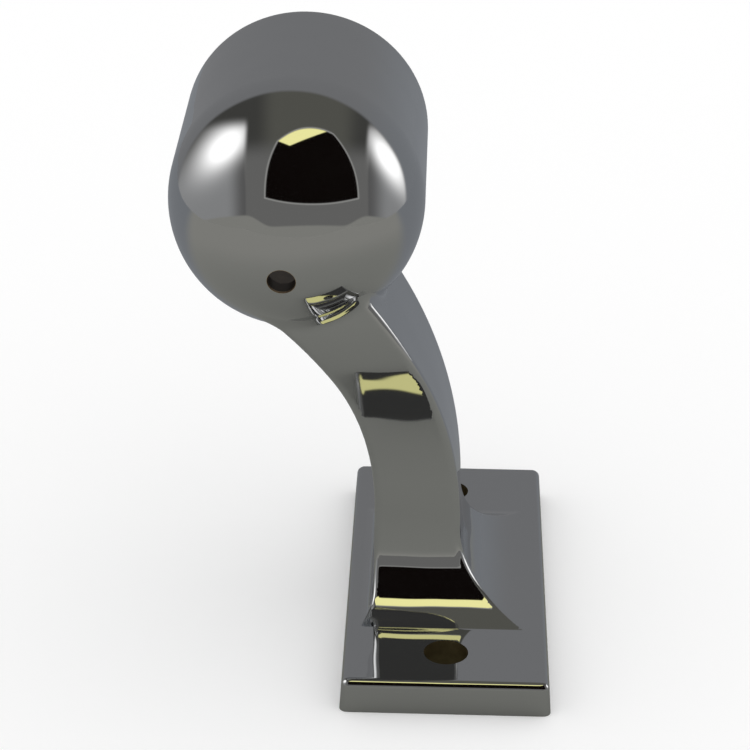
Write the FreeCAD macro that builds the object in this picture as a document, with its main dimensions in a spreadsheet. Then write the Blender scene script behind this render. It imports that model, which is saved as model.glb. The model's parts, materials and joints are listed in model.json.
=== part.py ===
import FreeCAD, Part
import math
import os
import Sketcher

# Handrail bracket, cast in one piece: a drafted base plate, an arm that curves
# out to one side, and a round head whose front end is a closed dome.
# The rail runs along Y and enters the head from the back (+Y).
# The origin is the centre of the plate's underside, and Z points away from the wall.

NODE = "handrail_bracket"

# Driving dimensions in millimetres and degrees
SIZES = {
    "base_width": 31.75,
    "base_length": 69.0,
    "base_thickness": 5.2,
    "base_draft": 4.0,
    "base_corner": 1.2,
    "base_edge": 1.0,
    "screw_spacing": 50.8,
    "screw_hole": 6.75,
    "arm_inside": 11.5,
    "arm_outside": 1.86,
    "arm_inset": 14.55,
    "inside_flare": 2.8,
    "outside_flare": 12.2,
    "end_flare": 10.5,
    "shank_flare": 45.0,
    "shank_rise": 2.4,
    "flare_sink": 0.15,
    "bend_start_below_rail": 50.7,
    "lean_start_share": 0.3425,
    "lean_end_below_rail": 26.4,
    "lean_reach": 3.96,
    "ease_end_below_rail": 15.4,
    "ease_reach": 3.0,
    "arm_edge": 1.2,
    "inside_meet": 35.5,
    "inside_meet_depth": 4.85,
    "head_offset": 23.55,
    "rail_height": 71.0,
    "rail_diameter": 31.75,
    "rail_clearance": 0.25,
    "head_wall": 3.05,
    "head_length": 48.3,
    "head_fillet": 3.0,
    "mouth_edge": 0.6,
    "dome_hole": 4.15,
    "dome_hole_down": 5.6,
    "dome_hole_side": 1.25,
}

# Sizes that follow from the driving ones, as sheet expressions
BORE_RADIUS = "(sizes.rail_diameter + sizes.rail_clearance) / 2"
DOME_PLANE = "sizes.head_length / 2 - " + BORE_RADIUS + " - sizes.head_wall"
ARM_DEPTH = "sizes.head_length - 2 * sizes.arm_inset"
BED = "(sizes.base_thickness - sizes.flare_sink + sizes.end_flare)"
REACH_IN = BORE_RADIUS + " + sizes.head_wall - sizes.inside_meet_depth"

doc = FreeCAD.newDocument("bracket")
sheet = doc.addObject("Spreadsheet::Sheet", "sizes")
for row, (alias, value) in enumerate(SIZES.items(), start=1):
    sheet.set("A%d" % row, alias)
    sheet.set("B%d" % row, str(value))
    sheet.setAlias("B%d" % row, alias)
doc.recompute()

body = doc.addObject("PartDesign::Body", NODE)
body.Label = NODE


def size(alias):
    return float(sheet.get(alias))


def vec(x, y, z=0.0):
    return FreeCAD.Vector(x, y, z)


def new_sketch(name, role, offset=None):
    """A sketch on one of the body's origin planes, moved by sheet expressions."""
    plane = next(o for o in body.Origin.OriginFeatures if o.Role == role)
    sketch = body.newObject("Sketcher::SketchObject", name)
    sketch.AttachmentSupport = [(plane, "")]
    sketch.MapMode = "FlatFace"
    for axis, expression in (offset or {}).items():
        sketch.setExpression("AttachmentOffset.Base." + axis, expression)
    return sketch


def arc(centre, radius, start, end):
    """An arc from start to end, anticlockwise, in degrees."""
    circle = Part.Circle(centre, vec(0, 0, 1), radius)
    return Part.ArcOfCircle(circle, math.radians(start), math.radians(end))


def constrain(sketch, kind, *args, name=None, to=None):
    """Add a constraint; to binds its value to the sheet."""
    index = sketch.addConstraint(Sketcher.Constraint(kind, *args))
    if name:
        sketch.renameConstraint(index, name)
        sketch.setExpression("Constraints." + name, to)
    return index


def join(sketch, pairs):
    """Join end points, each given as (curve, point); point 1 starts and 2 ends."""
    for first, second in pairs:
        constrain(sketch, "Coincident", *first, *second)


def recompute_cut(feature):
    """Recompute the body and make sure that the cut took material away."""
    before = feature.BaseFeature.Shape.Volume
    doc.recompute()
    if body.Shape.Volume > before - 1:
        raise ValueError(feature.Name + " cut nothing")


def rounded_box(sketch, width, length, corner):
    """A rectangle with round corners, centred on the sketch's origin."""
    half_x, half_y, radius = size(width) / 2, size(length) / 2, size(corner)
    in_x, in_y = half_x - radius, half_y - radius
    for curve in (
        Part.LineSegment(vec(-in_x, -half_y), vec(in_x, -half_y)),
        arc(vec(in_x, -in_y), radius, -90, 0),
        Part.LineSegment(vec(half_x, -in_y), vec(half_x, in_y)),
        arc(vec(in_x, in_y), radius, 0, 90),
        Part.LineSegment(vec(in_x, half_y), vec(-in_x, half_y)),
        arc(vec(-in_x, in_y), radius, 90, 180),
        Part.LineSegment(vec(-half_x, in_y), vec(-half_x, -in_y)),
        arc(vec(-in_x, -in_y), radius, 180, 270),
    ):
        sketch.addGeometry(curve, False)
    front, corner_a, right, corner_b, back, corner_c, left, corner_d = range(8)
    for curve in range(8):
        constrain(sketch, "Tangent", curve, 2, (curve + 1) % 8, 1)
    for line, kind in ((front, "Horizontal"), (right, "Vertical"), (back, "Horizontal"), (left, "Vertical")):
        constrain(sketch, kind, line)
    for other in (corner_b, corner_c, corner_d):
        constrain(sketch, "Equal", corner_a, other)
    constrain(sketch, "Symmetric", corner_d, 3, corner_b, 3, -1, 1)
    constrain(sketch, "Radius", corner_a, radius, name="corner", to="sizes." + corner)
    constrain(sketch, "DistanceX", left, 1, right, 1, size(width), name="across", to="sizes." + width)
    constrain(sketch, "DistanceY", front, 1, back, 1, size(length), name="along", to="sizes." + length)


def make_base():
    """The plate leans in on all four sides and its corners and top edge are round."""
    sketch = new_sketch("base_outline", "XY_Plane")
    rounded_box(sketch, "base_width", "base_length", "base_corner")
    pad = body.newObject("PartDesign::Pad", "base_plate")
    pad.Profile = sketch
    pad.setExpression("Length", "sizes.base_thickness")
    pad.setExpression("TaperAngle", "-sizes.base_draft")
    doc.recompute()
    round_edges("base_top_edge", "base_edge", is_base_top)


def make_arm():
    """The arm's front view, padded along the rail, then cut to its side view."""
    thickness = size("base_thickness")
    inside, outside = -size("arm_inside"), size("arm_outside")
    flare_in, flare_out = size("inside_flare"), size("outside_flare")
    bend_start = size("rail_height") - size("bend_start_below_rail")
    root, sunk = thickness / 2, thickness - size("flare_sink")
    head = vec(-size("head_offset"), size("rail_height"))
    reach_in = head_radius() - size("inside_meet_depth")
    angle_in = math.radians(size("inside_meet"))
    meet_in = head + vec(-reach_in * math.sin(angle_in), -reach_in * math.cos(angle_in))

    def bend(foot, meet):
        rise, run = meet.y - foot.y, foot.x - meet.x
        radius = (rise * rise + run * run) / (2 * run)
        turn = math.degrees(math.asin(rise / radius))
        return arc(vec(foot.x - radius, foot.y), radius, 0, turn)

    foot_in, foot_out = vec(inside, bend_start), vec(outside, sunk + flare_out)
    toe_in, toe_out = inside - flare_in, outside + flare_out
    sketch = new_sketch("arm_front_view", "XZ_Plane")
    for curve in (
        arc(vec(toe_in, sunk + flare_in), flare_in, -90, 0),
        Part.LineSegment(vec(inside, sunk + flare_in), foot_in),
        bend(foot_in, meet_in),
        Part.LineSegment(meet_in, head),
        bend(foot_out, head),
        arc(vec(toe_out, sunk + flare_out), flare_out, 180, 270),
        Part.LineSegment(vec(toe_out, sunk), vec(toe_out, root)),
        Part.LineSegment(vec(toe_out, root), vec(toe_in, root)),
        Part.LineSegment(vec(toe_in, root), vec(toe_in, sunk)),
    ):
        sketch.addGeometry(curve, False)
    flare_l, post, bend_l, into, bend_r, flare_r, edge_r, floor, edge_l = range(9)
    for first, second in (
        ((flare_l, 2), (post, 1)),
        ((post, 2), (bend_l, 1)),
        ((bend_r, 1), (flare_r, 1)),
    ):
        constrain(sketch, "Tangent", *first, *second)
    join(sketch, [
        ((bend_l, 2), (into, 1)), ((into, 2), (bend_r, 2)),
        ((flare_r, 2), (edge_r, 1)), ((edge_r, 2), (floor, 1)), ((floor, 2), (edge_l, 1)),
        ((edge_l, 2), (flare_l, 1)),
    ])
    for line in (post, edge_l, edge_r):
        constrain(sketch, "Vertical", line)
    constrain(sketch, "Horizontal", floor)
    for flare, name in ((flare_l, "inside_flare"), (flare_r, "outside_flare")):
        constrain(sketch, "Radius", flare, size(name), name=name, to="sizes." + name)
        constrain(sketch, "Vertical", flare, 3, flare, 1 if flare == flare_l else 2)
    constrain(sketch, "Horizontal", flare_r, 3, flare_r, 1)
    for kind, first, second, value, name, to in (
        ("DistanceX", (post, 1), (-1, 1), -inside, "arm_inside", "sizes.arm_inside"),
        ("DistanceX", (-1, 1), (flare_r, 1), outside, "arm_outside", "sizes.arm_outside"),
        ("DistanceY", (-1, 1), (post, 2), bend_start, "bend_start",
         "sizes.rail_height - sizes.bend_start_below_rail"),
        ("DistanceY", (-1, 1), (flare_l, 1), sunk, "toe_left", "sizes.base_thickness - sizes.flare_sink"),
        ("DistanceY", (-1, 1), (flare_r, 2), sunk, "toe_right", "sizes.base_thickness - sizes.flare_sink"),
        ("DistanceY", (-1, 1), (floor, 1), root, "root", "sizes.base_thickness / 2"),
        ("DistanceX", (into, 2), (-1, 1), -head.x, "head_offset", "sizes.head_offset"),
        ("DistanceY", (-1, 1), (into, 2), head.y, "rail_height", "sizes.rail_height"),
        ("DistanceX", (into, 1), (into, 2), head.x - meet_in.x, "in_across",
         "(" + REACH_IN + ") * sin(sizes.inside_meet)"),
        ("DistanceY", (into, 1), (into, 2), head.y - meet_in.y, "in_down",
         "(" + REACH_IN + ") * cos(sizes.inside_meet)"),
    ):
        constrain(sketch, kind, *first, *second, value, name=name, to=to)
    doc.recompute()
    pad = body.newObject("PartDesign::Pad", "arm_blank")
    pad.Profile = sketch
    pad.SideType = "Symmetric"
    pad.setExpression("Length", ARM_DEPTH + " + 3 * sizes.end_flare")
    doc.recompute()


def cut_side_view():
    """One cut leaves the arm's depth: toes that flare out in two arcs, and a front face that leans
    out and eases back upright under the dome.
    """
    thickness = size("base_thickness")
    half, flare, shank = arm_half_depth(), size("end_flare"), size("shank_flare")
    bed = thickness - size("flare_sink") + flare
    rail = size("rail_height")
    lean_end, ease_end = rail - size("lean_end_below_rail"), rail - size("ease_end_below_rail")
    lean_start = bed + size("lean_start_share") * (lean_end - bed)
    lean_reach, ease_reach = size("lean_reach"), size("ease_reach")
    top, far = rail + size("head_wall"), half + 3 * flare
    turn = 2 * math.atan(lean_reach / (lean_end - lean_start))
    lean = (lean_end - lean_start) / math.sin(turn)
    back = 2 * math.atan(ease_reach / (ease_end - lean_end)) - turn
    ease = (ease_end - lean_end) / (math.sin(turn) - math.sin(back))
    crest = -half - lean_reach
    ease_centre = vec(crest + ease * math.cos(turn), lean_end + ease * math.sin(turn))
    brow = crest - ease_reach
    crown = brow - (top - ease_end) * math.tan(back)
    rise = size("shank_rise")
    lift = math.asin(rise / (shank - flare))
    toe_centre = half + shank - (shank - flare) * math.cos(lift)
    bite = math.acos((bed - thickness) / flare)
    toe_end = toe_centre - flare * math.sin(bite)

    sketch = new_sketch("arm_side_view", "YZ_Plane")
    for curve in (
        arc(vec(-toe_centre, bed), flare, math.degrees(bite) - 90, -math.degrees(lift)),
        arc(vec(-half - shank, bed + rise), shank, -math.degrees(lift), 0),
        Part.LineSegment(vec(-half, bed + rise), vec(-half, lean_start)),
        arc(vec(-half - lean, lean_start), lean, 0, math.degrees(turn)),
        arc(ease_centre, ease, 180 + math.degrees(back), 180 + math.degrees(turn)),
        Part.LineSegment(vec(brow, ease_end), vec(crown, top)),
        Part.LineSegment(vec(crown, top), vec(-far, top)),
        Part.LineSegment(vec(-far, top), vec(-far, thickness)),
        Part.LineSegment(vec(-far, thickness), vec(-toe_end, thickness)),
        arc(vec(toe_centre, bed), flare, 180 + math.degrees(lift), 270 - math.degrees(bite)),
        arc(vec(half + shank, bed + rise), shank, 180, 180 + math.degrees(lift)),
        Part.LineSegment(vec(half, bed + rise), vec(half, top)),
        Part.LineSegment(vec(half, top), vec(far, top)),
        Part.LineSegment(vec(far, top), vec(far, thickness)),
        Part.LineSegment(vec(far, thickness), vec(toe_end, thickness)),
    ):
        sketch.addGeometry(curve, False)
    toe, lower, post, leaning, easing, neck, cap, outer, floor = range(9)
    back_toe, back_lower, back_post, back_cap, back_outer, back_floor = range(9, 15)
    for first, second in (
        ((toe, 2), (lower, 1)),
        ((lower, 2), (post, 1)),
        ((post, 2), (leaning, 1)),
        ((leaning, 2), (easing, 2)),
        ((easing, 1), (neck, 1)),
        ((back_toe, 1), (back_lower, 2)),
        ((back_lower, 1), (back_post, 1)),
    ):
        constrain(sketch, "Tangent", *first, *second)
    join(sketch, [
        ((floor, 2), (toe, 1)), ((back_toe, 2), (back_floor, 2)),
        ((neck, 2), (cap, 1)), ((cap, 2), (outer, 1)), ((outer, 2), (floor, 1)),
        ((back_post, 2), (back_cap, 1)), ((back_cap, 2), (back_outer, 1)), ((back_outer, 2), (back_floor, 1)),
    ])
    for line in (post, outer, back_post, back_outer):
        constrain(sketch, "Vertical", line)
    for line in (cap, floor, back_cap, back_floor):
        constrain(sketch, "Horizontal", line)
    constrain(sketch, "Radius", toe, flare, name="end_flare", to="sizes.end_flare")
    constrain(sketch, "Radius", lower, shank, name="shank_flare", to="sizes.shank_flare")
    constrain(sketch, "Equal", toe, back_toe)
    constrain(sketch, "Equal", lower, back_lower)
    constrain(sketch, "Horizontal", toe, 3, back_toe, 3)
    constrain(sketch, "Symmetric", lower, 3, back_lower, 3, -2)
    for kind, first, second, value, name, to in (
        ("DistanceX", (post, 1), (back_post, 1), 2 * half, "depth", ARM_DEPTH),
        ("DistanceY", (-1, 1), (toe, 3), bed, "bed", BED),
        ("DistanceY", (toe, 3), (lower, 3), rise, "shank_rise", "sizes.shank_rise"),
        ("DistanceY", (toe, 3), (post, 2), lean_start - bed, "lean_start",
         "sizes.lean_start_share * (sizes.rail_height - sizes.lean_end_below_rail - " + BED + ")"),
        ("DistanceX", (leaning, 2), (post, 2), lean_reach, "lean_reach", "sizes.lean_reach"),
        ("DistanceX", (easing, 1), (easing, 2), ease_reach, "ease_reach", "sizes.ease_reach"),
        ("DistanceY", (-1, 1), (leaning, 2), lean_end, "lean_end",
         "sizes.rail_height - sizes.lean_end_below_rail"),
        ("DistanceY", (-1, 1), (easing, 1), ease_end, "ease_end",
         "sizes.rail_height - sizes.ease_end_below_rail"),
        ("DistanceY", (-1, 1), (floor, 2), thickness, "plate_top", "sizes.base_thickness"),
        ("DistanceY", (-1, 1), (back_floor, 2), thickness, "back_plate_top", "sizes.base_thickness"),
        ("DistanceY", (-1, 1), (neck, 2), top, "cut_top", "sizes.rail_height + sizes.head_wall"),
        ("DistanceY", (-1, 1), (back_post, 2), top, "back_top", "sizes.rail_height + sizes.head_wall"),
        ("DistanceX", (outer, 1), (-1, 1), far, "far", "(" + ARM_DEPTH + ") / 2 + 3 * sizes.end_flare"),
        ("DistanceX", (-1, 1), (back_cap, 2), far, "back_far",
         "(" + ARM_DEPTH + ") / 2 + 3 * sizes.end_flare"),
    ):
        constrain(sketch, kind, *first, *second, value, name=name, to=to)
    doc.recompute()
    cut = body.newObject("PartDesign::Pocket", "arm_side_cut")
    cut.Profile = sketch
    cut.SideType = "Symmetric"
    cut.setExpression("Length", "4 * sizes.base_width")
    recompute_cut(cut)


def is_base_top(edge):
    return all(abs(vertex.Point.z - size("base_thickness")) < 0.01 for vertex in edge.Vertexes)


def is_arm_corner(edge):
    """The arm's four long corners, from their toes on the plate into the head."""
    box = edge.BoundBox
    foot = box.ZMin
    return box.ZLength > 0.01 and size("base_thickness") - 0.01 < foot < size("rail_height") - head_radius()


def is_junction(edge):
    """The line where the arm's faces meet the head's dome and barrel."""
    if edge.Length > math.pi * head_radius() or edge.BoundBox.ZMax > size("rail_height") - 0.01:
        return False
    centre = vec(-size("head_offset"), -dome_plane(), size("rail_height"))
    for index in range(5):
        point = edge.valueAt(edge.FirstParameter + (edge.LastParameter - edge.FirstParameter) * index / 4)
        away = point - centre
        if abs(vec(away.x, min(away.y, 0), away.z).Length - head_radius()) > 0.01:
            return False
    return True


def is_mouth(edge):
    """The outer and the inner rim of the head's open end."""
    box = edge.BoundBox
    return box.YLength < 0.01 and abs(box.YMax - size("head_length") / 2) < 0.01


def bore_radius():
    return (size("rail_diameter") + size("rail_clearance")) / 2


def head_radius():
    return bore_radius() + size("head_wall")


def arm_half_depth():
    return size("head_length") / 2 - size("arm_inset")


def dome_plane():
    """Distance from the middle of the head to the flat where its dome begins."""
    return size("head_length") / 2 - head_radius()


def round_edges(name, radius, wanted):
    """Round the body's edges that pass the test."""
    base = body.Tip
    edges = ["Edge%d" % (index + 1) for index, edge in enumerate(body.Shape.Edges) if wanted(edge)]
    fillet = body.newObject("PartDesign::Fillet", name)
    fillet.Base = (base, edges)
    fillet.setExpression("Radius", "sizes." + radius)
    doc.recompute()


def bevel_mouth():
    """Both rims of the open end are bevelled, the inner one to lead the rail in."""
    rims = ["Edge%d" % (index + 1) for index, edge in enumerate(body.Shape.Edges) if is_mouth(edge)]
    bevel = body.newObject("PartDesign::Chamfer", "mouth_rims")
    bevel.Base = (body.getObject("rail_socket"), rims)
    bevel.setExpression("Size", "sizes.mouth_edge")
    recompute_cut(bevel)


def head_sketch(name):
    """A sketch through the head's axis, with its origin at the middle of the head's length."""
    return new_sketch(name, "XY_Plane", {"x": "-sizes.head_offset", "z": "sizes.rail_height"})


def half_capsule(sketch, radius, radius_to):
    """Half of a round-ended bar: a quarter circle at the front and a square end at the back."""
    end = size("head_length") / 2
    centre = vec(0, -dome_plane())
    tip = centre - vec(0, radius)
    for curve in (
        arc(centre, radius, -90, 0),
        Part.LineSegment(centre + vec(radius, 0), vec(radius, end)),
        Part.LineSegment(vec(radius, end), vec(0, end)),
        Part.LineSegment(vec(0, end), tip),
    ):
        sketch.addGeometry(curve, False)
    dome, side, mouth, axis = range(4)
    constrain(sketch, "Tangent", dome, 2, side, 1)
    join(sketch, [((side, 2), (mouth, 1)), ((mouth, 2), (axis, 1)), ((axis, 2), (dome, 1))])
    constrain(sketch, "Vertical", side)
    constrain(sketch, "Horizontal", mouth)
    constrain(sketch, "PointOnObject", dome, 3, -2)
    constrain(sketch, "PointOnObject", dome, 1, -2)
    constrain(sketch, "PointOnObject", mouth, 2, -2)
    constrain(sketch, "Radius", dome, radius, name="radius", to=radius_to)
    constrain(sketch, "DistanceY", dome, 3, -1, 1, -centre.y, name="dome_plane", to=DOME_PLANE)
    constrain(sketch, "DistanceY", -1, 1, mouth, 2, end, name="mouth", to="sizes.head_length / 2")
    doc.recompute()


def make_head():
    outer = head_sketch("head_profile")
    half_capsule(outer, head_radius(), BORE_RADIUS + " + sizes.head_wall")
    head = body.newObject("PartDesign::Revolution", "head")
    head.Profile = outer
    head.ReferenceAxis = (outer, ["V_Axis"])
    head.Angle = 360
    doc.recompute()


def make_socket():
    inner = head_sketch("socket_profile")
    half_capsule(inner, bore_radius(), BORE_RADIUS)
    socket = body.newObject("PartDesign::Groove", "rail_socket")
    socket.Profile = inner
    socket.ReferenceAxis = (inner, ["V_Axis"])
    socket.Angle = 360
    recompute_cut(socket)


def make_dome_hole():
    """The pin hole in the dome is drilled along the rail's axis, from the front into the socket."""
    sketch = new_sketch("dome_hole_place", "XZ_Plane")
    across = size("head_offset") + size("dome_hole_side")
    up = size("rail_height") - size("dome_hole_down")
    sketch.addGeometry(Part.Circle(vec(-across, up), vec(0, 0, 1), size("dome_hole") / 2), False)
    constrain(sketch, "Diameter", 0, size("dome_hole"), name="diameter", to="sizes.dome_hole")
    constrain(sketch, "DistanceX", 0, 3, -1, 1, across, name="across",
              to="sizes.head_offset + sizes.dome_hole_side")
    constrain(sketch, "DistanceY", -1, 1, 0, 3, up, name="up", to="sizes.rail_height - sizes.dome_hole_down")
    doc.recompute()
    hole = body.newObject("PartDesign::Pocket", "dome_hole_cut")
    hole.Profile = sketch
    hole.Type = "ThroughAll"
    hole.Reversed = True
    recompute_cut(hole)


def make_screw_holes():
    """Two screw holes on the plate's long axis, one on each side of the arm."""
    sketch = new_sketch("screw_hole_place", "XY_Plane", {"z": "sizes.base_thickness"})
    away = size("screw_spacing") / 2
    sketch.addGeometry(Part.Circle(vec(0, -away), vec(0, 0, 1), size("screw_hole") / 2), False)
    constrain(sketch, "Diameter", 0, size("screw_hole"), name="diameter", to="sizes.screw_hole")
    constrain(sketch, "PointOnObject", 0, 3, -2)
    constrain(sketch, "DistanceY", 0, 3, -1, 1, away, name="half_spacing",
              to="sizes.screw_spacing / 2")
    doc.recompute()
    hole = body.newObject("PartDesign::Pocket", "screw_hole_cut")
    hole.Profile = sketch
    hole.Type = "ThroughAll"
    recompute_cut(hole)
    one_hole = body.Shape.Volume
    mirrored = body.newObject("PartDesign::Mirrored", "screw_hole_pair")
    mirrored.Originals = [hole]
    mirrored.MirrorPlane = (next(o for o in body.Origin.OriginFeatures if o.Role == "XZ_Plane"), [""])
    body.Tip = mirrored
    doc.recompute()
    if body.Shape.Volume > one_hole - 1:
        raise ValueError("The mirrored screw hole cut nothing")


os.makedirs("parts", exist_ok=True)
make_base()
make_arm()
cut_side_view()
round_edges("arm_corners", "arm_edge", is_arm_corner)
make_head()
round_edges("head_junction", "head_fillet", is_junction)
make_socket()
bevel_mouth()
make_dome_hole()
make_screw_holes()

for item in doc.Objects:
    if "Invalid" in item.State or "Error" in item.State:
        raise ValueError("%s failed: %s" % (item.Name, item.State))
if body.Shape.isNull() or not body.Shape.isValid() or len(body.Shape.Solids) != 1:
    raise ValueError("The body is not one valid solid")
for sketch in doc.findObjects("Sketcher::SketchObject"):
    if not sketch.FullyConstrained:
        raise ValueError(sketch.Name + " is free to move")
body.Shape.exportStep("parts/%s.step" % NODE)
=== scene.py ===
import json
import math

import bpy
import numpy as np
from mathutils import Matrix, Vector


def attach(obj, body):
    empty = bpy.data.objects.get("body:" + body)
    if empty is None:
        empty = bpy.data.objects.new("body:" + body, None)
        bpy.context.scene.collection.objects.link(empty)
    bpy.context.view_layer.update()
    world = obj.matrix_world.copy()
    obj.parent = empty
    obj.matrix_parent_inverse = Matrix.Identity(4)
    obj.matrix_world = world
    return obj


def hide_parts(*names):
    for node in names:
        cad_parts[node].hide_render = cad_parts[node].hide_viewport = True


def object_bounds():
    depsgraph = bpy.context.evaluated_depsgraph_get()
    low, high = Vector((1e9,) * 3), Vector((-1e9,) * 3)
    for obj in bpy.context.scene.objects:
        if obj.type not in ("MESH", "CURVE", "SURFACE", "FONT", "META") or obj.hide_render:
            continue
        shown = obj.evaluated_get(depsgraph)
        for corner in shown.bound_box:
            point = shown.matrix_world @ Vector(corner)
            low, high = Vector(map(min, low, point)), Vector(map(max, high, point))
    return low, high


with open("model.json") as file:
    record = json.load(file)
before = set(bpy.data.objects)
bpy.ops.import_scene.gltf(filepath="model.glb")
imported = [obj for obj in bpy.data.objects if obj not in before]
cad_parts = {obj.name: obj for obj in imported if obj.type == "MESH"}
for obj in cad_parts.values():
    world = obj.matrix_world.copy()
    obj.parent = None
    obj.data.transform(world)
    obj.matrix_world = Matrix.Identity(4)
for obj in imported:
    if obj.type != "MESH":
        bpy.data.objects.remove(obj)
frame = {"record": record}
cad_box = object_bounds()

# Handrail bracket, cast in one piece and chrome plated.
# The casting's skin is rebuilt here as one fine mesh with exact normals, because a mirror
# finish shows every facet. Lengths are in millimetres until the mesh is made.

MM = 0.001
MOUNTS = {mount["name"]: mount for mount in frame["record"]["mounts"]}


def mount_place(name):
    return np.array(MOUNTS[name]["pos_m"]) / MM


# Plate, from the part's box and the screw holes' record
PLATE_HALF_X = cad_box[1].x / MM
PLATE_HALF_Y = cad_box[1].y / MM
PLATE_TOP = 5.2
PLATE_DRAFT = math.radians(4.0)
PLATE_CORNER = 1.2
PLATE_EDGE = 1.0
HOLE_RADIUS = MOUNTS["base_holes"]["dims"]["hole_r_mm"]
HOLE_SPACING = MOUNTS["base_holes"]["dims"]["spacing_y_mm"]

# Arm: places of its faces, radii of its flares, heights and reaches of its arcs, meeting with the head
ARM_INSIDE = -11.5
ARM_OUTSIDE = 1.86
ARM_HALF_DEPTH = 9.6
ARM_EDGE = 1.2
FLARE_INSIDE = 2.8
FLARE_OUTSIDE = 12.2
FLARE_END = 10.5
FLARE_SINK = 0.15
SHANK_FLARE = 45.0
SHANK_RISE = 4.6
BEND_START_INSIDE = 20.3
LEAN_START = 25.5
LEAN_END = 44.6
LEAN_REACH = 3.96
EASE_END = 55.6
EASE_REACH = 3.0
MEET_ANGLE = math.radians(35.5)
MEET_DEPTH = 4.85

# Head
RAIL = mount_place("rail_socket")
SOCKET_RADIUS = MOUNTS["rail_socket"]["dims"]["r_mm"]
HEAD_RADIUS = cad_box[1].z / MM - RAIL[2]
HEAD_BACK = 24.15
HEAD_BLEND = 1.2
DOME_CENTRE = np.array([RAIL[0], HEAD_RADIUS - HEAD_BACK, RAIL[2]])
DOME_HOLE = mount_place("dome_hole")
DOME_HOLE_RADIUS = MOUNTS["dome_hole"]["dims"]["r_mm"]
MOUTH_EDGE = 0.6
MOUTH_CHAMFER = 0.8

# Fields of signed distance, negative inside
SHARP = 0.0
UNTOUCHED = -HEAD_BACK  # deep inside, where a cut doesn't reach
PROBE = 0.001  # step that measures a slope

# Mesh
CELL = 0.5
GRID_MARGIN = 2.3 * CELL
TINY = 1e-12
MIDDLE_WEIGHT = 0.05  # holds a vertex near its cell's middle where no plane does
CORNER_SHARE = 0.75  # how near a face's corner its own normal is measured
CREASE = math.radians(14)  # from here on an edge is sharp


def length(*parts):
    return np.sqrt(sum(part * part for part in parts))


def cut(first, second, radius):
    """What is inside both fields, with its edge rounded to a radius."""
    inner = np.minimum(np.maximum(first, second), -radius)
    return inner + length(np.maximum(first + radius, 0), np.maximum(second + radius, 0))


def join(first, second, radius):
    """What is inside either field, with the corner between them filled to a radius."""
    outer = np.maximum(np.minimum(first, second), radius)
    return outer - length(np.maximum(radius - first, 0), np.maximum(radius - second, 0))


def plate(x, y, z):
    """Base plate with leaning sides, round corners and a rounded top edge."""
    lean = z * math.tan(PLATE_DRAFT)
    over_x = np.abs(x) - (PLATE_HALF_X - PLATE_CORNER - lean)
    over_y = np.abs(y) - (PLATE_HALF_Y - PLATE_CORNER - lean)
    corner = length(np.maximum(over_x, 0), np.maximum(over_y, 0))
    flat = np.minimum(np.maximum(over_x, over_y), 0)
    side = (corner + flat - PLATE_CORNER) * math.cos(PLATE_DRAFT)
    return np.maximum(cut(side, z - PLATE_TOP, PLATE_EDGE), -z)


def bend(foot_x, foot_z, end_x, end_z):
    """Centre and radius of the arc that starts upright at the foot and ends at the given point."""
    rise, run = end_z - foot_z, foot_x - end_x
    radius = (rise * rise + run * run) / (2 * run)
    return foot_x - radius, foot_z, radius


# Places on the arm that follow from its sizes
ARM_BED = PLATE_TOP - FLARE_SINK
TOE_BED = ARM_BED + FLARE_END
SHANK_LIFT = math.asin(SHANK_RISE / (SHANK_FLARE - FLARE_END))
TOE_CENTRE = ARM_HALF_DEPTH + SHANK_FLARE - (SHANK_FLARE - FLARE_END) * math.cos(SHANK_LIFT)
BEND_INSIDE = bend(ARM_INSIDE, BEND_START_INSIDE,
                   RAIL[0] - (HEAD_RADIUS - MEET_DEPTH) * math.sin(MEET_ANGLE),
                   RAIL[2] - (HEAD_RADIUS - MEET_DEPTH) * math.cos(MEET_ANGLE))
BEND_OUTSIDE = bend(ARM_OUTSIDE, ARM_BED + FLARE_OUTSIDE, RAIL[0], RAIL[2])


def arm_inside(x, z):
    """The arm's face towards the head's side: flare, upright, bend."""
    bed = ARM_BED + FLARE_INSIDE
    flare = FLARE_INSIDE - length(x - (ARM_INSIDE - FLARE_INSIDE), z - bed)
    centre_x, centre_z, radius = BEND_INSIDE
    curve = radius - length(x - centre_x, z - centre_z)
    upright = ARM_INSIDE - x
    return np.where(z < bed, np.where(x < ARM_INSIDE - FLARE_INSIDE, z - ARM_BED, flare),
                    np.where(z < centre_z, upright, curve))


def arm_outside(x, z):
    """The arm's outer face: flare, bend."""
    bed = ARM_BED + FLARE_OUTSIDE
    flare = FLARE_OUTSIDE - length(x - (ARM_OUTSIDE + FLARE_OUTSIDE), z - bed)
    centre_x, centre_z, radius = BEND_OUTSIDE
    curve = length(x - centre_x, z - centre_z) - radius
    return np.where(z < bed, np.where(x > ARM_OUTSIDE + FLARE_OUTSIDE, z - ARM_BED, flare), curve)


def arm_end(across, z):
    """Flare, shank and upright of a face that looks along Y; across is the distance from the middle."""
    flare = FLARE_END - length(across - TOE_CENTRE, z - TOE_BED)
    shank = SHANK_FLARE - length(across - ARM_HALF_DEPTH - SHANK_FLARE, z - TOE_BED - SHANK_RISE)
    low = np.where(across > TOE_CENTRE, z - ARM_BED, flare)
    return np.where(z < TOE_BED - FLARE_END * math.sin(SHANK_LIFT), low,
                    np.where(z < TOE_BED + SHANK_RISE, shank, across - ARM_HALF_DEPTH))


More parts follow.
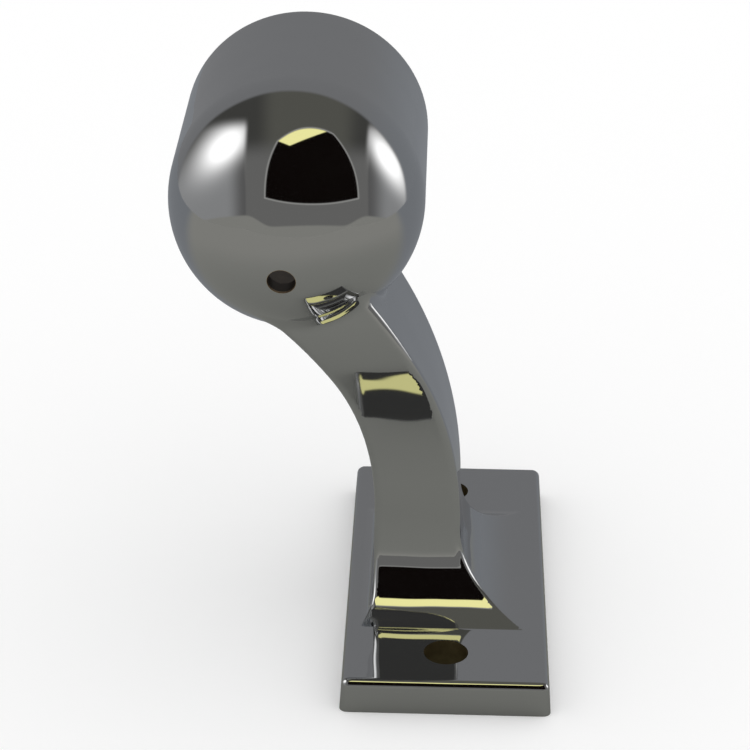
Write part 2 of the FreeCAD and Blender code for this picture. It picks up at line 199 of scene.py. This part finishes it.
def arm_front(y, z):
    """The front face leans out above its upright, eases back and runs on straight into the head."""
    turn = 2 * math.atan(LEAN_REACH / (LEAN_END - LEAN_START))
    lean_radius = (LEAN_END - LEAN_START) / math.sin(turn)
    back = 2 * math.atan(EASE_REACH / (EASE_END - LEAN_END)) - turn
    ease_radius = (EASE_END - LEAN_END) / (math.sin(turn) - math.sin(back))
    lean_y = -ARM_HALF_DEPTH - lean_radius
    ease_y = lean_y + (lean_radius + ease_radius) * math.cos(turn)
    ease_z = LEAN_START + (lean_radius + ease_radius) * math.sin(turn)
    lean = lean_radius - length(y - lean_y, z - LEAN_START)
    ease = length(y - ease_y, z - ease_z) - ease_radius
    straight = (ease_y - y) * math.cos(back) + (ease_z - z) * math.sin(back) - ease_radius
    upper = np.where(z < EASE_END, ease, straight)
    return np.where(z < LEAN_START, arm_end(-y, z), np.where(z < LEAN_END, lean, upper))


def arm(x, y, z):
    """The whole arm; its rounded long edges fade out in the flares, and it ends inside the head."""
    sides = np.maximum(arm_inside(x, z), arm_outside(x, z))
    ends = np.maximum(arm_front(y, z), arm_end(y, z))
    low = np.clip((TOE_BED - z) / FLARE_END, 0, 1)
    body = cut(sides, ends, ARM_EDGE * (1 - low * low))
    foot_x = np.maximum(ARM_INSIDE - FLARE_INSIDE - x, x - ARM_OUTSIDE - FLARE_OUTSIDE)
    foot_y = np.abs(y) - TOE_CENTRE
    foot = np.maximum(np.maximum(foot_x, foot_y), PLATE_TOP / 2 - z)
    body = np.where(z < PLATE_TOP + FLARE_SINK, np.maximum(body, foot), body)
    into = (z - RAIL[2]) * math.sin(MEET_ANGLE) - (x - RAIL[0]) * math.cos(MEET_ANGLE)
    return np.maximum(body, np.maximum(into, z - RAIL[2]))


def capsule(x, y, z, radius):
    """A bar along Y whose front end is a dome; it runs on without end at the back."""
    return length(x - DOME_CENTRE[0], np.minimum(y - DOME_CENTRE[1], 0), z - DOME_CENTRE[2]) - radius


def bracket(points):
    """Signed distance to the whole casting, about true near its skin."""
    x, y, z = points[:, 0], points[:, 1], points[:, 2]
    body = join(capsule(x, y, z, HEAD_RADIUS), arm(x, y, z), HEAD_BLEND)
    body = np.minimum(body, plate(x, y, z))
    mouth = np.where(z > (PLATE_TOP + RAIL[2]) / 2, y - HEAD_BACK, UNTOUCHED)
    body = cut(body, mouth, MOUTH_EDGE)
    body = cut(body, -capsule(x, y, z, SOCKET_RADIUS), SHARP)
    from_rail = length(x - RAIL[0], z - RAIL[2])
    chamfer = (SOCKET_RADIUS + MOUTH_CHAMFER - from_rail + y - HEAD_BACK) * math.sqrt(0.5)
    body = np.maximum(body, np.where(y > 0, chamfer, UNTOUCHED))
    screw = HOLE_RADIUS - length(x, np.abs(y) - HOLE_SPACING / 2)
    body = cut(body, np.where(z < PLATE_TOP + HOLE_RADIUS, screw, UNTOUCHED), SHARP)
    pin = DOME_HOLE_RADIUS - length(x - DOME_HOLE[0], z - DOME_HOLE[2])
    return cut(body, np.where(y < DOME_CENTRE[1], pin, UNTOUCHED), SHARP)


def slope(field, points):
    """The field's unit gradient."""
    result = np.empty_like(points)
    for axis in range(3):
        step = np.zeros(3)
        step[axis] = PROBE
        result[:, axis] = field(points + step) - field(points - step)
    return result / np.maximum(np.linalg.norm(result, axis=1), TINY)[:, None]


def grid_crossings(values, low, cell):
    """Where the grid's lines cross the zero surface, the four cells round each crossing,
    and whether the line comes from outside."""
    inside = values < 0
    units = np.eye(3, dtype=int)
    crossings, cells_round, from_outside = [], [], []
    for axis in range(3):
        first = [slice(1, -1)] * 3
        second = [slice(1, -1)] * 3
        first[axis] = slice(0, -1)
        second[axis] = slice(1, None)
        found = np.argwhere(inside[tuple(first)] != inside[tuple(second)])
        start = found + 1 - units[axis]
        end = start + units[axis]
        at_start, at_end = values[tuple(start.T)], values[tuple(end.T)]
        share = at_start / (at_start - at_end)
        crossings.append(low + cell * (start + share[:, None] * (end - start)))
        one, two = units[(axis + 1) % 3], units[(axis + 2) % 3]
        cells_round.append(np.stack([start - one - two, start - two, start, start - one], 1))
        from_outside.append(at_start > 0)
    return np.concatenate(crossings), np.concatenate(cells_round), np.concatenate(from_outside)


def meeting_points(crossings, normals, corner, count, cell):
    """One point per cell, where the tangent planes at the cell's crossings meet."""
    weight = np.zeros(count)
    middle = np.zeros((count, 3))
    for turn in range(4):
        np.add.at(weight, corner[:, turn], 1)
        np.add.at(middle, corner[:, turn], crossings)
    middle /= weight[:, None]
    matrix = np.zeros((count, 3, 3))
    right = np.zeros((count, 3))
    outer = normals[:, :, None] * normals[:, None, :]
    for turn in range(4):
        gap = np.sum(normals * (crossings - middle[corner[:, turn]]), axis=1)
        np.add.at(matrix, corner[:, turn], outer)
        np.add.at(right, corner[:, turn], normals * gap[:, None])
    matrix += MIDDLE_WEIGHT * np.eye(3)
    shift = np.linalg.solve(matrix, right[:, :, None])[:, :, 0]
    return middle + np.clip(shift, -cell, cell)


def contour(field, low, high, cell):
    """The field's zero surface as quads, one round each crossing and one vertex in each cell."""
    counts = np.ceil((high - low) / cell).astype(int) + 1
    lines = [low[axis] + cell * np.arange(counts[axis]) for axis in range(3)]
    grid = np.stack(np.meshgrid(*lines, indexing="ij"), -1).reshape(-1, 3)
    values = field(grid).reshape(counts)
    crossings, cells_round, from_outside = grid_crossings(values, low, cell)
    normals = slope(field, crossings)
    crossings = crossings - normals * field(crossings)[:, None]
    normals = slope(field, crossings)
    ids = np.ravel_multi_index(cells_round.reshape(-1, 3).T, tuple(counts - 1)).reshape(-1, 4)
    used, corner = np.unique(ids, return_inverse=True)
    corner = corner.reshape(-1, 4)
    vertices = meeting_points(crossings, normals, corner, len(used), cell)
    vertices -= slope(field, vertices) * field(vertices)[:, None]
    quads = np.where(from_outside[:, None], corner[:, ::-1], corner)
    return vertices, quads


def casting_mesh():
    """The casting's skin; a corner takes its vertex's normal, or its own face's at a sharp edge."""
    low = np.array(cad_box[0]) / MM - GRID_MARGIN
    high = np.array(cad_box[1]) / MM + GRID_MARGIN
    vertices, quads = contour(bracket, low, high, CELL)
    mesh = bpy.data.meshes.new("bracket_casting")
    mesh.from_pydata((vertices * MM).tolist(), [], quads.tolist())
    mesh.validate()
    mesh.update()
    corners = np.empty(len(mesh.loops), dtype=int)
    mesh.loops.foreach_get("vertex_index", corners)
    counts = np.empty(len(mesh.polygons), dtype=int)
    mesh.polygons.foreach_get("loop_total", counts)
    face = np.repeat(np.arange(len(counts)), counts)
    centres = np.zeros((len(counts), 3))
    np.add.at(centres, face, vertices[corners])
    centres /= counts[:, None]
    sample = vertices[corners] * CORNER_SHARE + centres[face] * (1 - CORNER_SHARE)
    at_corner = slope(bracket, sample)
    at_vertex = slope(bracket, vertices)[corners]
    smooth = np.sum(at_corner * at_vertex, axis=1) > math.cos(CREASE)
    mesh.normals_split_custom_set(np.where(smooth[:, None], at_vertex, at_corner).tolist())
    return mesh


casting = bpy.data.objects.new("bracket_casting", casting_mesh())
bpy.context.scene.collection.objects.link(casting)


# Nodes
def new_material(name):
    material = bpy.data.materials.new(name)
    material.use_nodes = True
    tree = material.node_tree
    tree.nodes.clear()
    return material, tree


def feed(tree, socket, value):
    """Link another node's output to a socket, or write a number, vector or colour on it."""
    if isinstance(value, bpy.types.NodeSocket):
        tree.links.new(value, socket)
    elif socket.type == "RGBA":
        socket.default_value = (*value, 1.0)
    else:
        socket.default_value = value


def add(tree, kind, inputs=None, **settings):
    """A new node, with what its inputs are fed by name or number."""
    node = tree.nodes.new(kind)
    for name, value in settings.items():
        setattr(node, name, value)
    for name, value in (inputs or {}).items():
        feed(tree, node.inputs[name], value)
    return node


def maths(tree, operation, *values, clamp=False):
    node = add(tree, "ShaderNodeMath", dict(enumerate(values)), operation=operation, use_clamp=clamp)
    return node.outputs[0]


def far_from(tree, *parts):
    """Square root of the sum of the squares."""
    total = 0.0
    for part in parts:
        total = maths(tree, "ADD", maths(tree, "POWER", part, 2), total)
    return maths(tree, "SQRT", total)


def ramp(tree, value, start, end):
    """0 before the start and 1 after the end, smooth between; the end may be the lower one."""
    inputs = {"Value": value, "From Min": start, "From Max": end}
    node = add(tree, "ShaderNodeMapRange", inputs, interpolation_type="SMOOTHERSTEP")
    return node.outputs["Result"]


def above(tree, value, level, soft):
    return ramp(tree, value, level - soft, level + soft)


def below(tree, value, level, soft):
    return ramp(tree, value, level + soft, level - soft)


def overlap(tree, *masks):
    """What all the masks share."""
    result = masks[0]
    for mask in masks[1:]:
        result = maths(tree, "MULTIPLY", result, mask)
    return result


def blend(tree, share, first, second):
    """Mix two colours."""
    node = add(tree, "ShaderNodeMix", data_type="RGBA")
    enabled = [socket for socket in node.inputs if socket.enabled]
    for socket, value in zip(enabled, (share, first, second)):
        feed(tree, socket, value)
    return [socket for socket in node.outputs if socket.enabled][0]


def split(tree, vector):
    return add(tree, "ShaderNodeSeparateXYZ", {"Vector": vector}).outputs


def noise(tree, place, grain):
    return add(tree, "ShaderNodeTexNoise", {"Vector": place, **grain}).outputs["Fac"]


# Plating and bare metal, with painted shade on the walls of the socket and pin hole and a painted
# highlight on the pin hole's lip; the grains' scales and the ripple's depth are in metres
CHROME = (0.62, 0.625, 0.63)
BRASS_DARK = (0.10, 0.07, 0.03)
BRASS_LIGHT = (0.46, 0.38, 0.20)
# Bare casting darkened as painted shade, for the walls deep in the socket and pin hole
CAST_PAINTED_SHADE_DARK = (0.05, 0.04, 0.03)
CAST_PAINTED_SHADE_LIGHT = (0.14, 0.11, 0.08)
# Painted highlight on the pin hole's lip
PIN_LIP_PAINTED_HIGHLIGHT = (0.55, 0.40, 0.24)
STAIN = {"Scale": 420, "Detail": 5}
POLISH = {"Scale": 60, "Detail": 3}
POLISH_ROUGHNESS = {"To Min": 0.02, "To Max": 0.06}
BARE_ROUGHNESS = 0.35
RIPPLE = {"Scale": 60, "Detail": 1}
RIPPLE_STRENGTH = 0.6
RIPPLE_DEPTH = 0.0006

# Where the metal is bare, in millimetres from the walls of the holes and from their rims
WALL_REACH = 0.05
SOCKET_REACH = 0.15
MOUTH_MARGIN = 1.0
LIP_WIDTH = 0.5


def chrome():
    """Polished plating; bare metal shows on the drilled holes' walls and inside the rail socket, darkened
    with painted shade in the socket and pin hole, with a painted highlight on the pin hole's lip.
    """
    material, tree = new_material("chrome_casting")
    place = add(tree, "ShaderNodeTexCoord").outputs["Object"]
    x, y, z = split(tree, place)

    along = maths(tree, "SUBTRACT", maths(tree, "ABSOLUTE", y), HOLE_SPACING / 2 * MM)
    screw = maths(tree, "LESS_THAN", far_from(tree, x, along), (HOLE_RADIUS + WALL_REACH) * MM)
    screw = overlap(tree, screw, maths(tree, "LESS_THAN", z, (PLATE_TOP - WALL_REACH) * MM))

    rail_x = maths(tree, "SUBTRACT", x, DOME_CENTRE[0] * MM)
    rail_y = maths(tree, "MINIMUM", maths(tree, "SUBTRACT", y, DOME_CENTRE[1] * MM), 0.0)
    rail_z = maths(tree, "SUBTRACT", z, DOME_CENTRE[2] * MM)
    depth = far_from(tree, rail_x, rail_y, rail_z)
    socket = maths(tree, "LESS_THAN", depth, (SOCKET_RADIUS + SOCKET_REACH) * MM)
    socket = overlap(tree, socket, maths(tree, "LESS_THAN", y, (HEAD_BACK - MOUTH_MARGIN) * MM))

    pin_x = maths(tree, "SUBTRACT", x, DOME_HOLE[0] * MM)
    pin_z = maths(tree, "SUBTRACT", z, DOME_HOLE[2] * MM)
    pin = maths(tree, "LESS_THAN", far_from(tree, pin_x, pin_z), (DOME_HOLE_RADIUS + WALL_REACH) * MM)
    pin = overlap(tree, pin, maths(tree, "LESS_THAN", y, DOME_CENTRE[1] * MM))
    # Painted highlight: the pin hole's lip, next to the outer skin
    painted_lit_lip = overlap(tree, pin, maths(tree, "GREATER_THAN", depth, (HEAD_RADIUS - LIP_WIDTH) * MM))
    # The socket and pin hole walls, which take the painted shade
    dark = maths(tree, "MAXIMUM", socket, pin)
    bare = maths(tree, "MAXIMUM", screw, dark)

    stain = noise(tree, place, STAIN)
    brass = blend(tree, stain, BRASS_DARK, BRASS_LIGHT)
    # Bare casting darkened with painted shade, its tone varied by the stain
    cast_painted_light = blend(tree, stain, CAST_PAINTED_SHADE_DARK, CAST_PAINTED_SHADE_LIGHT)
    # The lip is painted lighter than the shaded wall, as a painted highlight
    cast_painted_light = blend(tree, painted_lit_lip, cast_painted_light, PIN_LIP_PAINTED_HIGHLIGHT)
    colour = blend(tree, bare, CHROME, blend(tree, dark, brass, cast_painted_light))

    polish = {"Value": noise(tree, place, POLISH), **POLISH_ROUGHNESS}
    rough = add(tree, "ShaderNodeMapRange", polish).outputs["Result"]
    rough = maths(tree, "ADD", rough, maths(tree, "MULTIPLY", bare, BARE_ROUGHNESS))
    bump = add(tree, "ShaderNodeBump", {"Strength": RIPPLE_STRENGTH, "Distance": RIPPLE_DEPTH,
                                        "Height": noise(tree, place, RIPPLE)})
    shader = add(tree, "ShaderNodeBsdfPrincipled", {"Metallic": 1.0, "Base Color": colour,
                                                    "Roughness": rough, "Normal": bump.outputs[0]})
    add(tree, "ShaderNodeOutputMaterial", {"Surface": shader.outputs[0]})
    return material


casting.data.materials.append(chrome())
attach(casting, "root")
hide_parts("handrail_bracket")

# Camera, from the fit of the photograph's outlines
CAMERA_PLACE = Vector((-2.067, -371.666, 224.308)) * MM
CAMERA_RIGHT = Vector((0.99949, 0.03071, 0.00877)).normalized()
CAMERA_UP = Vector((-0.02152, 0.44497, 0.89529)).normalized()
FOCAL_PIXELS = 2681.0
IMAGE = 750
SENSOR = 36.0
CLIP_START = 0.01
CLIP_END = 10


def make_camera():
    data = bpy.data.cameras.new("camera")
    data.sensor_width = SENSOR
    data.lens = FOCAL_PIXELS / IMAGE * SENSOR
    data.clip_start = CLIP_START
    data.clip_end = CLIP_END
    camera = bpy.data.objects.new("camera", data)
    back = CAMERA_RIGHT.cross(CAMERA_UP)
    turn = Matrix((CAMERA_RIGHT, CAMERA_UP, back)).transposed().to_4x4()
    camera.matrix_world = Matrix.Translation(CAMERA_PLACE) @ turn
    bpy.context.scene.collection.objects.link(camera)
    bpy.context.scene.camera = camera


# Tent round the object, seen only in the plating; its colours are what the plating shows, 0 to 255
TENT_FRONT = Vector((0.0236, -0.895, 0.4454)).normalized()
TENT_RAISED = 0.041
TENT_MIDDLE = 0.09
CRISP = 0.006
SOFT = 0.012

# Walls: plain ones outside an arc, and inside it the ceiling and the sides
ARC_SHIFT = 0.04
ARC_SQUEEZE = 1.06
ARC_FADE = (0.90, 0.86)
WALL_LEFT = (103, 104, 106)
WALL_RIGHT = (106, 109, 113)
WALL_FADE = (0.3, 0.9)
CEILING = (77, 77, 72)
CEILING_SIDE = (57, 57, 55)
CEILING_FADE = (0.20, 0.42)
SIDE_INNER = (82, 82, 82)
SIDE_OUTER = (124, 125, 126)
SIDE_FADE = (0.46, 0.64)
HEIGHT_FADE = (0.52, 0.06)
FRAME = (94, 94, 93)
FRAME_REACH = 0.47
FRAME_TOP = 0.36
FRAME_TOP_SOFT = 0.13
FRONT_FLOOR = (119, 119, 115)
FRONT_FLOOR_TOP = -0.21
FRONT_FLOOR_RISE = 0.09
FRONT_FLOOR_FADE = (0.24, 0.50)

# Window: each side is a parabola with its middle, its level there and how it bows
WINDOW_BOTTOM = (0.126, -0.047, 0.42)
WINDOW_LEFT = (0.0, -0.228, 0.565)
WINDOW_RIGHT = (0.0, 0.480, -0.858)
WINDOW_TOP = (0.12, 0.535, -1.8)
WINDOW_EDGE = (132, 132, 130)
WINDOW_EDGE_WIDTH = 0.012
WINDOW_DARK = (9, 6, 5)
WINDOW_MIRRORED_TWICE = (56, 56, 55)

# The world sees a ray that was mirrored once at depth 2, and one that was mirrored twice at 3
MIRRORED_TWICE = 2.5

# Lamp in the window: a wedge that opens upwards from its tip
LAMP = (232, 228, 158)
LAMP_TIP = (-0.039, 0.390)
LAMP_SLOPES = (-0.482, 0.402)

# Soft lights: middle, size and tilt of the glow, and where an edge ends it
LIGHT = (255, 255, 255)
LIGHT_GAIN = 1.5
LEFT_LIGHT = {"middle": (-0.54, 0.40), "size": (0.22, 0.12), "tilt": 45}
LEFT_LIGHT_EDGE = (-0.375, 0.03)
LEFT_LIGHT_TOP = (0.575, 0.07)
RIGHT_LIGHT = {"middle": (0.69, 0.33), "size": (0.22, 0.075), "tilt": -60}
RIGHT_LIGHT_EDGE = (0.53, 0.025)
RIGHT_LIGHT_TOP = (0.60, 0.07)


def linear(screen):
    """A screen value of 0 to 255 as linear light."""
    value = screen / 255
    return value / 12.92 if value <= 0.04045 else ((value + 0.055) / 1.055) ** 2.4


def tent_colour(colour):
    """What the tent must send for the plating to show this screen colour."""
    return tuple(linear(screen) / plating for screen, plating in zip(colour, CHROME))


def tent_layout(tree):
    """Directions laid out on a plane as the dome shows them: u to the right and w up.

    They go by their half-way vector towards the tent's front. The plane's axes are fixed: they run
    as the photograph's sides do, wherever the object is seen from.
    """
    direction = add(tree, "ShaderNodeTexCoord").outputs["Generated"]
    half = add(tree, "ShaderNodeVectorMath", {0: direction, 1: TENT_FRONT}, operation="ADD")
    unit = add(tree, "ShaderNodeVectorMath", {0: half.outputs[0]}, operation="NORMALIZE")

    def along(axis):
        node = add(tree, "ShaderNodeVectorMath", {0: unit.outputs[0], 1: axis}, operation="DOT_PRODUCT")
        return node.outputs["Value"]

    return along(CAMERA_RIGHT), maths(tree, "ADD", along(CAMERA_UP), TENT_RAISED)


def curve_gap(tree, across, along, curve):
    """How far a place lies beyond the parabola level + bow * (along - middle)^2."""
    middle, level, bow = curve
    square = maths(tree, "POWER", maths(tree, "SUBTRACT", along, middle), 2)
    return maths(tree, "SUBTRACT", across, maths(tree, "MULTIPLY_ADD", square, bow, level))


def window(tree, u, w, grown):
    """The tent's dark front opening, as a round mirror bows its sides."""
    return overlap(tree, above(tree, curve_gap(tree, w, u, WINDOW_BOTTOM), -grown, CRISP),
                   above(tree, curve_gap(tree, u, w, WINDOW_LEFT), -grown, CRISP),
                   below(tree, curve_gap(tree, u, w, WINDOW_RIGHT), grown, CRISP),
                   below(tree, curve_gap(tree, w, u, WINDOW_TOP), grown, CRISP))


def glow(tree, u, w, middle, size, tilt):
    """A soft round light: 1 in the middle, fading to 0."""
    across = maths(tree, "SUBTRACT", u, middle[0])
    up = maths(tree, "SUBTRACT", w, middle[1])
    cos, sin = math.cos(math.radians(tilt)), math.sin(math.radians(tilt))
    along = maths(tree, "ADD", maths(tree, "MULTIPLY", across, cos), maths(tree, "MULTIPLY", up, sin))
    over = maths(tree, "SUBTRACT", maths(tree, "MULTIPLY", up, cos), maths(tree, "MULTIPLY", across, sin))
    far = maths(tree, "ADD", maths(tree, "POWER", maths(tree, "DIVIDE", along, size[0]), 2),
                maths(tree, "POWER", maths(tree, "DIVIDE", over, size[1]), 2))
    return maths(tree, "EXPONENT", maths(tree, "MULTIPLY", far, -1.0))


def tent_walls(tree, u, w, inner):
    """Walls, ceiling, sides and the dark frame round the window, with the floor in front."""
    from_middle = maths(tree, "ABSOLUTE", maths(tree, "SUBTRACT", u, TENT_MIDDLE))
    wall = blend(tree, ramp(tree, u, *WALL_FADE), tent_colour(WALL_LEFT), tent_colour(WALL_RIGHT))
    ceiling = blend(tree, ramp(tree, from_middle, *CEILING_FADE),
                    tent_colour(CEILING), tent_colour(CEILING_SIDE))
    side = blend(tree, ramp(tree, from_middle, *SIDE_FADE),
                 tent_colour(SIDE_INNER), tent_colour(SIDE_OUTER))
    inside = blend(tree, ramp(tree, w, *HEIGHT_FADE), ceiling, side)
    frame_mask = overlap(tree, below(tree, from_middle, FRAME_REACH, SOFT),
                         below(tree, w, FRAME_TOP, FRAME_TOP_SOFT))
    inside = blend(tree, frame_mask, inside, tent_colour(FRAME))
    colour = blend(tree, inner, wall, inside)
    rise = ramp(tree, from_middle, *FRONT_FLOOR_FADE)
    floor_gap = maths(tree, "MULTIPLY_ADD", rise, -FRONT_FLOOR_RISE, w)
    return blend(tree, below(tree, floor_gap, FRONT_FLOOR_TOP, SOFT), colour, tent_colour(FRONT_FLOOR))


def tent_window(tree, u, w, ray_depth, colour):
    """The window with its bright edge and the lamp in it; an image of an image shows it grey."""
    edge = window(tree, u, w, WINDOW_EDGE_WIDTH)
    colour = blend(tree, edge, colour, tent_colour(WINDOW_EDGE))
    hole = window(tree, u, w, 0.0)
    twice = maths(tree, "GREATER_THAN", ray_depth, MIRRORED_TWICE)
    gloom = blend(tree, twice, tent_colour(WINDOW_DARK), tent_colour(WINDOW_MIRRORED_TWICE))
    colour = blend(tree, hole, colour, gloom)
    tip_u, tip_w = LAMP_TIP
    from_tip = maths(tree, "SUBTRACT", u, tip_u)
    wedge = [above(tree, maths(tree, "MULTIPLY_ADD", from_tip, slope_w, w), tip_w, CRISP)
             for slope_w in LAMP_SLOPES]
    return blend(tree, overlap(tree, hole, *wedge), colour, tent_colour(LAMP))


def tent_lights(tree, u, w, inner, colour):
    """Two soft lights, each cut off by the edges of its screen."""
    left = overlap(tree, glow(tree, u, w, **LEFT_LIGHT), below(tree, u, *LEFT_LIGHT_EDGE),
                   below(tree, w, *LEFT_LIGHT_TOP))
    right = overlap(tree, glow(tree, u, w, **RIGHT_LIGHT), above(tree, u, *RIGHT_LIGHT_EDGE),
                    below(tree, w, *RIGHT_LIGHT_TOP))
    lights = maths(tree, "MULTIPLY", maths(tree, "ADD", left, right), LIGHT_GAIN, clamp=True)
    return blend(tree, overlap(tree, lights, inner), colour, tent_colour(LIGHT))


def make_world():
    """White for the camera and for the light on the floor, the tent for the plating."""
    world = bpy.data.worlds.new("tent")
    world.use_nodes = True
    tree = world.node_tree
    tree.nodes.clear()
    u, w = tent_layout(tree)
    path = add(tree, "ShaderNodeLightPath").outputs
    radius = far_from(tree, maths(tree, "ADD", u, ARC_SHIFT), maths(tree, "MULTIPLY", w, ARC_SQUEEZE))
    inner = ramp(tree, radius, *ARC_FADE)
    colour = tent_walls(tree, u, w, inner)
    colour = tent_window(tree, u, w, path["Ray Depth"], colour)
    colour = tent_lights(tree, u, w, inner, colour)
    tent = add(tree, "ShaderNodeBackground", {"Color": colour})
    white = add(tree, "ShaderNodeBackground", {"Color": (1.0, 1.0, 1.0)})
    mix = add(tree, "ShaderNodeMixShader", {"Fac": path["Is Glossy Ray"],
                                            1: white.outputs[0], 2: tent.outputs[0]})
    add(tree, "ShaderNodeOutputWorld", {"Surface": mix.outputs[0]})
    bpy.context.scene.world = world


# Floor, in metres; its greys are what the plating shows of it near, far off and behind the object, the
# darker grey near the object being painted shade
FLOOR_SIZE = 0.7
FLOOR_GAP = 0.00002
# Painted shade: the floor's grey near the object, darker than far off
FLOOR_NEAR_PAINTED_SHADE = (110, 111, 107)
FLOOR_FAR = (121, 121, 117)
FLOOR_FAR_FADE = (0.04, 0.20)
FLOOR_BEHIND = (105, 108, 112)
FLOOR_BEHIND_FADE = (0.01, 0.07)


def make_floor():
    """A white floor; mirrored in the plating it is the tent's grey floor, darkened near the object with
    painted shade.
    """
    material, tree = new_material("floor")
    place = add(tree, "ShaderNodeTexCoord").outputs["Object"]
    away = add(tree, "ShaderNodeVectorMath", {0: place}, operation="LENGTH").outputs["Value"]
    # Painted shade near the object, fading out to the far grey
    grey = blend(tree, ramp(tree, away, *FLOOR_FAR_FADE), tent_colour(FLOOR_NEAR_PAINTED_SHADE), tent_colour(FLOOR_FAR))
    behind = ramp(tree, split(tree, place)["Y"], *FLOOR_BEHIND_FADE)
    grey = blend(tree, behind, grey, tent_colour(FLOOR_BEHIND))
    mirrored = add(tree, "ShaderNodeLightPath").outputs["Is Glossy Ray"]
    shader = add(tree, "ShaderNodeBsdfDiffuse", {"Color": blend(tree, mirrored, (1.0, 1.0, 1.0), grey)})
    add(tree, "ShaderNodeOutputMaterial", {"Surface": shader.outputs[0]})
    bpy.ops.mesh.primitive_plane_add(size=FLOOR_SIZE, location=(0, 0, cad_box[0].z - FLOOR_GAP))
    floor = bpy.context.object
    floor.name = "floor"
    floor.data.materials.append(material)


make_camera()
make_world()
make_floor()
bpy.context.scene.view_settings.view_transform = "Standard"
